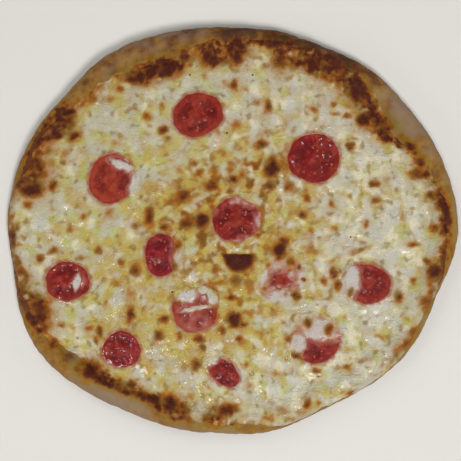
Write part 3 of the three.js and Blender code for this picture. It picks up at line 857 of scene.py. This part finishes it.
def makeCheese():
    mesh = cheeseSheet()
    points = readPoints(mesh)
    row = -points[:, 2]
    angle, radius = sheetPlaces(points.T[:2])
    radius = radius - row
    at = cartesian(angle, radius)
    edge = meltedEdge(angle)
    inset = edge - radius
    onSauce = smooth(sauceRadius(angle) - radius, -1.5, 1.5)
    onDough = (1 - onSauce) * smooth(outlineRadius(angle) - edge, 1, 3)
    step = sauce["thickness"] + cheese["overSauce"] - cheese["overDough"]
    under = doughSurface(at, angle, radius) + cheese["overDough"] + step * onSauce
    under -= 0.4 * onDough * (1 - smooth(inset, 0, 1.5))

    lumpFar = pillows(wander(at, 15, 4, 53), cheese["lump"], 55)
    curdFar = pillows(wander(at, 6, 1.5, 56), cheese["curd"], 58)
    crumbly = smooth(drift(at, 24, 57), -0.55, 0.45)
    shreds = shredField(wander(at, 8, 2.5, 59))
    brown = browning(at)
    x, y = at
    high, across, along = cheese["broadSwell"]
    relief = high * np.sin(x / across + 1.3) * np.sin(y / along + 0.4)
    high, across, along = cheese["crossSwell"]
    relief += high * np.sin(x / across - y / along + 2)
    relief += blisterRise(at) * (1 - bareShare(angle, radius))
    relief += cheese["lumpRise"] * (0.45 - lumpFar**2)
    relief += cheese["curdRise"] * (0.35 + 0.65 * crumbly) * (0.4 - curdFar**2)
    relief += cheese["shredRise"] * shreds + drifts(at, *cheese["fineRise"])
    relief += smooth(brown, 0.3, 0.8) * (0.3 + 0.25 * drift(at, 2.4, 63))
    settled = smooth(inset, -0.5, cheese["lipWidth"] * 2)
    height = under + cheeseThickness(inset) + (0.25 + 0.75 * settled) * relief
    juice, overTomato = lapOverSlices(at, height)
    overRun = runOverSlices(at, height)
    writePoints(mesh, np.vstack([at, np.where(row > 0, under - 0.3, height)]).T)

    golden = 0.6 * smooth(drifts(at, (1, 8, 77), (0.6, 3.5, 78)), -0.5, 0.7) * zoneSum(at, goldZones)
    golden = (golden + 0.1 * onDough * (1 - smooth(inset, 0, 5))) * (1 - overRun)
    # whiter where the mozzarella lies thick, and a painted highlight on the tops of the curds and lumps
    milk = 0.7 * zoneSum(at, milkZones) + 0.25 * shreds + 0.6 * (0.35 - curdFar)
    # painted shade: darker in the valleys between the curds and lumps
    hollow = 0.55 * curdFar + 0.35 * lumpFar - 0.25 * shreds + 0.4 * drift(at, 4.2, 76)
    oil = 0.7 * zoneSum(at, oilZones) + drifts(at, (0.5, 12, 73), (0.4, 5, 74)) - 0.2
    writeShares(
        mesh, browned=np.maximum(brown, golden) + 0.35 * np.minimum(brown, golden),
        milky=milk + 0.5 * (0.4 - lumpFar) + 0.4 * drift(at, 9, 72),
        hollow=smooth(hollow, 0.35, 0.85) * (1 - overRun), oily=oil - 0.25 * shreds - 0.5 * overRun,
        juice=juice * (1 - overRun) * (0.85 + 0.5 * drift(at, 4, 75)),
        overTomato=overTomato, overRun=overRun,
    )
    return mesh


def cheeseMaterial():
    recipe = Recipe("melted_mozzarella", cheeseLook)
    broad, middle = recipe.noise(11, 3, 0.6), recipe.noise(3.4, 3, 0.6)
    fine, grain = recipe.noise(1.5, 3, 0.65), recipe.noise(0.9, 2)
    recipe.colour = recipe.mix(broad.between(0.42, 0.6), "cream", "leaf")
    oily = recipe.share("oily") + (recipe.noise(8, 1) - 0.5) * 1.8
    recipe.paint("oil", oily.between(0.05, 0.85) * 0.85)
    recipe.paint("rosy", recipe.noise(7.3, 1).between(0.46, 0.68) * 0.68)
    tint = recipe.noise(13, 1) + (recipe.share("oily") - 0.4) * 0.28
    recipe.paint("yolk", tint.between(0.46, 0.68) * 0.75)
    # milk and lilac: whiter mozzarella, partly a painted highlight on the tops of curds and lumps
    milky = recipe.share("milky") + (recipe.noise(9, 1) - 0.5) * 2.2 + (fine - 0.5) * 0.3
    milk = recipe.mix(recipe.noise(8.1, 2).between(0.45, 0.6), "milk", "lilac")
    recipe.paint(milk, milky.between(0.05, 0.85) * 0.92)
    recipe.paint("whey", (1 - tint).between(0.52, 0.68) * 0.65)
    # painted shade in the valleys between curds and lumps
    hollow = recipe.share("hollow") + (middle - 0.5) * 0.8
    recipe.paint("paintedShade", hollow.between(0.1, 1) * 0.72)
    juice = recipe.share("juice") + (fine - 0.5) * 0.3
    recipe.paint("juice", juice.between(0.1, 0.95) * 0.88)
    thick = recipe.share("overRun") + (recipe.noise(5.2, 2) - 0.5) * 0.9 + (fine - 0.5) * 0.3
    skim = recipe.mix(thick.between(0.25, 0.7), "blush", "skim")
    skim = recipe.mix(thick.between(-0.05, 0.3), "veil", skim)
    recipe.paint(skim, recipe.share("overTomato"))
    recipe.colour = recipe.browned(middle, fine)
    browned = recipe.share("browned")
    wet = recipe.noise(7, 2).between(0.45, 0.65) * (1 - browned.between(0.15, 0.5) * 0.85)
    return recipe.finish(
        Roughness=0.35 + browned * 0.15 + (fine - 0.5) * 0.25, Coat_Weight=wet * 0.5,
        Coat_Roughness=0.15, Normal=recipe.bump(middle * 0.5 + fine * 0.6 + grain * 0.6, 1.7, 1.0),
        Specular_IOR_Level=0.15, Subsurface_Weight=0.1, Subsurface_Radius=(0.003, 0.002, 0.001),
    )


# tomato slices and their seeds

tomato = {
    "base": 7,
    "thickness": 3.9,
    "disc": 15,  # radius that a slice is spun at, before it takes its own outline
    "bevel": 0.8,
    "cellDepth": 0.3,
    "rings": [  # of the upper side, as shares of the radius
        0.97, 0.94, 0.9, 0.86, 0.82, 0.77, 0.72, 0.67, 0.62, 0.57, 0.52, 0.46, 0.4,
        0.34, 0.28, 0.22, 0.15, 0.08, 0,
    ],
    "steps": 96,
    "lap": 0.9,  # of the cheese over the skin
    "lapRise": 0.3,
    "lapFall": 1.3,  # slope of the cheese where it dips under the flesh
    "sunk": 1.8,
    "tongueBase": 11.05,  # height that the tongues rise from
}
seeds = {"long": 1.05, "wide": 0.65, "high": 0.35}
# milk run thinly over the slices: x, y, long, wide, how much, turn
films = patches(
    (-72, 44, 27, 13, 0.8, -25), (-65, 29, 22, 10, 0.75, 85), (8, 20, 27, 10, 0.85, -10),
    (17, 6, 27, 10, 0.75, 88), (6, -6, 20, 7, 0.6, 15), (-12, 14, 14, 7, 0.5, 60), (-38, -16, 10, 24, 0.55),
    (33, -42, 32, 14, 1), (33, -23, 30, 11, 1), (46, -33, 12, 26, 0.95), (19, -30, 11, 18, 0.95),
    (-26, -43, 32, 13, 0.9), (-25, -51, 30, 6, 0.7, 5), (-25, -61, 28, 17, 0.5),
    (-101, -33, 13, 9, 0.6, 80), (54, -65, 36, 16, 0.9, -8), (43.5, -76, 15, 24, 0.75, -15),
    (-11, -84, 18, 9, 0.7, 40), (80, -34, 22, 14, 0.6, 85),
)
# ripe is 0 crimson to 1 orange red
Slice = namedtuple("Slice", "x y long wide turn lean toward cells ripe seeds number")
slices = [
    (-23, 76.9, 35, 31, 15, 2, 200, 3, 0.6, 4), (53.8, 48.2, 36, 35, 0, 1, 90, 2, 0.35, 6),
    (-79.8, 34.5, 35, 32, 80, 2, 45, 2, 1, 3), (2.7, 7.6, 35, 31, 10, 1, 100, 3, 0.4, 13),
    (-47, -15.9, 31, 24, 88, 3, 0, 2, 0.05, 9), (-109.3, -33.3, 31.5, 27.5, -10, 2, 20, 2, 0.45, 4),
    (33.1, -32.6, 32, 29, 30, 1, 270, 3, 0.7, 4), (89.5, -34.8, 32, 28, -20, 3, 175, 3, 0.5, 8),
    (-25.2, -53.1, 31.5, 30, 0, 2, 80, 3, 1, 3), (-73.4, -78.6, 27.5, 25.5, 10, 1, 300, 2, 0.2, 3),
    (55.4, -72.3, 35, 31, 15, 2, 120, 3, 0.5, 4), (-5.8, -93.7, 26, 17, -42, 3, 140, 2, 0.35, 1),
]
slices = [Slice(*row, number) for number, row in enumerate(slices, 1)]
tomatoLook = {
    "crimson": (134, 18, 31), "flesh": (124, 20, 17), "orange": (160, 62, 36), "wall": (172, 66, 54),
    "deep": (110, 22, 20), "gel": (90, 12, 16), "skin": (134, 42, 32), "seed": (150, 76, 56),
    "fleck": (172, 70, 58), "blush": (172, 100, 90), "milk": (200, 182, 172),
}


def sliceRadius(row, angle):
    uneven = waves(angle, (2, 0.25, row.number), (3, 0.3, row.number * 2.3))
    return ovalRadius(angle, row.long, row.wide) + uneven


def sliceMatrix(row):
    toward = math.radians(row.toward + 90)
    axis = Vector((math.cos(toward), math.sin(toward), 0))
    lean = Matrix.Rotation(math.radians(row.lean), 4, axis)
    return Matrix.Translation(Vector((row.x, row.y, tomato["base"])) * mm) @ lean @ turned(row.turn)


def sliceSurface(share, angle, row):  # height over the underside, and 1 in a seed cell, 0 on the walls
    at = cartesian(angle, tomato["disc"] * share)
    swirled = angle + 16 * drift(at, 6, 90 + row.number)
    reached = share + 0.09 * drift(at, 5, 120 + row.number)
    between = np.abs(np.sin(np.radians(swirled) * row.cells / 2 + row.number))
    ring = smooth(reached, 0.15, 0.45) * (1 - smooth(reached, 0.6, 0.86))
    cell = smooth(between, 0.1, 0.8) * ring
    lumps = drifts(at, (0.25, 4.5, 80 + row.number), (0.1, 2, 100 + row.number))
    lumps *= 1 - smooth(share, 0.7, 0.95)  # so that the cheese laps over an even edge
    dome = 0.35 * (1 - share**2)
    return tomato["thickness"] + dome - tomato["cellDepth"] * cell + lumps, cell


def makeSlice(row):
    thick, bevel, disc = tomato["thickness"], tomato["bevel"], tomato["disc"]
    profile = [(0, 0), (8, 0), (disc - bevel, 0), (disc - bevel * 0.3, bevel * 0.3), (disc, bevel)]
    profile += [(disc, thick * 0.5), (disc, thick - bevel), (disc * 0.99, thick - bevel * 0.5)]
    profile += [(disc * share, thick) for share in tomato["rings"]]
    mesh = spun("slice", profile, tomato["steps"])
    points = readPoints(mesh)
    angle, radius = polar(points.T)
    share = radius / disc
    upper, cell = sliceSurface(share, angle, row)
    isTop = points[:, 2] > thick - tiny
    points[:, 2] = np.where(isTop, upper, points[:, 2])
    points[:, :2] = cartesian(angle, share * sliceRadius(row, angle)).T
    writePoints(mesh, points)
    mesh.transform(sliceMatrix(row))
    at = readPoints(mesh).T[:2]
    film = 0.25 * smooth(lapDistance(at, row)[1], -1.2, 0.2)
    for patch in films:
        film = np.maximum(film, patch.much * (1 - smooth(raggedFar(at, patch), 0.5, 1.25)))
    for tongue in tongues:
        film = np.maximum(film, 0.6 * (1 - smooth(raggedFar(at, tongue), 1, 1.35)))
    writeShares(
        mesh, gel=np.where(isTop, cell, 0), skin=np.where(isTop, smooth(share, 0.86, 0.97), 1),
        film=film * (0.85 + 0.5 * drift(at, 5, 93)), ripe=row.ripe + 0.35 * drift(at, 9, 94),
    )
    return mesh


def makeSeeds():
    build = bmesh.new()
    rng = np.random.default_rng(81)
    for row in slices:
        placed = 0
        while placed < row.seeds:
            share, angle = rng.uniform(0.36, 0.76), rng.uniform(-180, 180)
            size, twist = rng.uniform(0.8, 1.15), rng.uniform(-35, 35)
            upper, cell = sliceSurface(share, angle, row)
            if cell < 0.5:
                continue
            placed += 1
            x, y = cartesian(angle, sliceRadius(row, angle) * share)
            stretch = Matrix.Diagonal((seeds["long"] * size, seeds["wide"] * size, seeds["high"], 1))
            where = Matrix.Translation(Vector((x, y, upper)) * mm) @ turned(angle + twist) @ stretch
            bmesh.ops.create_uvsphere(
                build, u_segments=8, v_segments=6, radius=mm, matrix=sliceMatrix(row) @ where,
            )
    return meshOf(build, "seeds")


def tomatoMaterial():
    recipe = Recipe("tomato_flesh", tomatoLook)
    broad, fine, grain = recipe.noise(5, 2), recipe.noise(1.6, 3, 0.6), recipe.noise(0.5, 2)
    recipe.colour = recipe.ramp(recipe.share("ripe"), (0, "crimson"), (0.3, "flesh"), (1, "orange"))
    recipe.paint("wall", (broad + (fine - 0.5) * 0.4).between(0.45, 0.75) * 0.8)
    recipe.paint("deep", recipe.noise(4.2, 2).between(0.4, 0.65) * 0.5)
    recipe.paint("gel", (recipe.share("gel") + (fine - 0.5) * 0.7).between(0.1, 1) * 0.65)
    recipe.paint("fleck", recipe.noise(2.4, 3, 0.6).between(0.52, 0.7) * 0.5)
    recipe.paint("skin", recipe.share("skin") * 0.6)
    film = recipe.share("film")
    thick = film + ((recipe.noise(5.7, 2) - 0.5) * 0.8 + (fine - 0.5) * 0.3) * film.between(0, 0.3)
    milk = recipe.mix(thick.between(0.5, 1.05), "blush", "milk")
    recipe.paint(milk, thick.between(0.05, 0.8) * 0.9)
    return recipe.finish(
        Roughness=0.3 + fine * 0.25,
        Normal=recipe.bump(broad * 0.5 + fine * 0.5 + grain * 0.15, 0.5, 0.6),
        Specular_IOR_Level=0.12, Subsurface_Weight=0.15, Subsurface_Radius=(0.004, 0.0008, 0.0004),
        Coat_Weight=0.26, Coat_Roughness=0.1,
    )


def seedMaterial():
    recipe = Recipe("tomato_seed", tomatoLook)
    recipe.colour = recipe.mix(recipe.noise(2.5).between(0.35, 0.7), "seed", "wall")
    return recipe.finish(
        Roughness=0.3, Subsurface_Weight=0.2, Subsurface_Radius=(0.002, 0.001, 0.0005),
        Coat_Weight=0.3, Coat_Roughness=0.14,
    )


# charred crumbs from the oven floor

crumbs = {
    "colour": (58, 40, 30),
    "size": 0.6,  # radius
    "places": [(-39.8, -40.5), (78.3, -4), (13.3, 103.5), (-3.7, 65), (-28.2, 103.5)],
    "more": 24,  # smaller ones, anywhere within the reach
    "reach": 118,
    "drop": 50,  # height that they fall from
}


def makeCrumbs():
    ground = bmesh.new()
    ground.from_mesh(bpy.data.objects["melted_cheese"].data)
    tree = BVHTree.FromBMesh(ground)
    ground.free()
    rng = np.random.default_rng(91)
    places = list(crumbs["places"])
    for _ in range(crumbs["more"]):
        angle, radius = rng.uniform(0, 360), crumbs["reach"] * math.sqrt(rng.uniform(0, 1))
        places.append(cartesian(angle, radius))
    build = bmesh.new()
    for index, (x, y) in enumerate(places):
        sizes = (0.9, 1.2) if index < len(crumbs["places"]) else (0.35, 0.75)
        size = crumbs["size"] * rng.uniform(*sizes)
        spot = tree.ray_cast(Vector((x, y, crumbs["drop"])) * mm, Vector((0, 0, -1)))[0]
        stretch = Matrix.Diagonal((rng.uniform(0.9, 1.5), rng.uniform(0.7, 1), 0.6, 1))
        where = Matrix.Translation(spot) @ turned(rng.uniform(0, 180)) @ stretch
        bmesh.ops.create_icosphere(build, subdivisions=2, radius=size * mm, matrix=where)
    return meshOf(build, "crumbs")


def crumbMaterial():
    recipe = Recipe("charred_crumb", {})
    return recipe.finish(Base_Color=rgb(*crumbs["colour"]), Roughness=0.8, Specular_IOR_Level=0.2)


# studio

studio = {
    "floor": (228, 225, 219),
    "air": 0.06,  # strength of the light from all round
    "lamps": [  # name, place in metres, size, watts
        ("key", (0.5, -1.05, 1.85), 0.8, 29.2), ("fill", (-0.9, 1.35, 1.15), 1.3, 9),
        ("left", (-1.1, -0.5, 0.7), 0.8, 3), ("right", (1.1, 0.5, 0.7), 0.8, 2.5),
        ("glintLow", (-0.22, -0.3, 1.1), 0.1, 1.3), ("glintHigh", (0.3, 0.3, 1.1), 0.1, 0.9),
    ],
    "centre": (-1.3, 0.3, 9),  # what the camera looks at
    "width": 306,  # of the view there
    "cameraHeight": 700,
    "sensor": 36,
}


def makeStudio():
    build = bmesh.new()
    bmesh.ops.create_grid(build, x_segments=1, y_segments=1, size=3)
    mesh = meshOf(build, "floor")
    recipe = Recipe("studio_floor", {})
    mesh.materials.append(recipe.finish(Base_Color=rgb(*studio["floor"]), Roughness=0.9))
    added("floor", mesh)
    for name, spot, size, power in studio["lamps"]:
        light = bpy.data.lights.new(name, "AREA")
        light.shape = "DISK"
        light.size, light.energy = size, power
        lamp = added(name, light)
        lamp.location = spot
        lamp.rotation_euler = (-Vector(spot)).to_track_quat("-Z", "Y").to_euler()
    world = bpy.data.worlds.new("studio")
    world.use_nodes = True
    sockets = world.node_tree.nodes["Background"].inputs
    sockets["Color"].default_value = (1, 1, 1, 1)
    sockets["Strength"].default_value = studio["air"]
    bpy.context.scene.world = world
    bpy.context.scene.view_settings.view_transform = "Standard"


def makeCamera():
    lens = bpy.data.cameras.new("camera")
    camera = added("camera", lens)
    centre = Vector(studio["centre"]) * mm
    camera.location = centre + Vector((0, 0, studio["cameraHeight"] * mm))
    lens.sensor_width = studio["sensor"]
    lens.lens = studio["sensor"] * studio["cameraHeight"] / studio["width"]
    bpy.context.scene.camera = camera


print("dough")
place(makeDough(), "baked_dough", doughMaterial(), "baked_dough", "pizza_crust")
print("sauce")
place(makeSauce(), "tomato_sauce_film", sauceMaterial(), "tomato_sauce", "tomato_sauce")
print("cheese")
place(makeCheese(), "melted_cheese", cheeseMaterial(), "melted_cheese", "melted_mozzarella")
print("tomato")
fleshMaterial = tomatoMaterial()
for row in slices:
    name = f"tomato_slice_{row.number:02d}"
    place(makeSlice(row), name + "_cooked", fleshMaterial, "tomato", name)
place(makeSeeds(), "tomato_seeds", seedMaterial(), "tomato")
print("crumbs")
place(makeCrumbs(), "charred_crumbs", crumbMaterial(), "baked_dough")
print("studio")
makeStudio()
makeCamera()
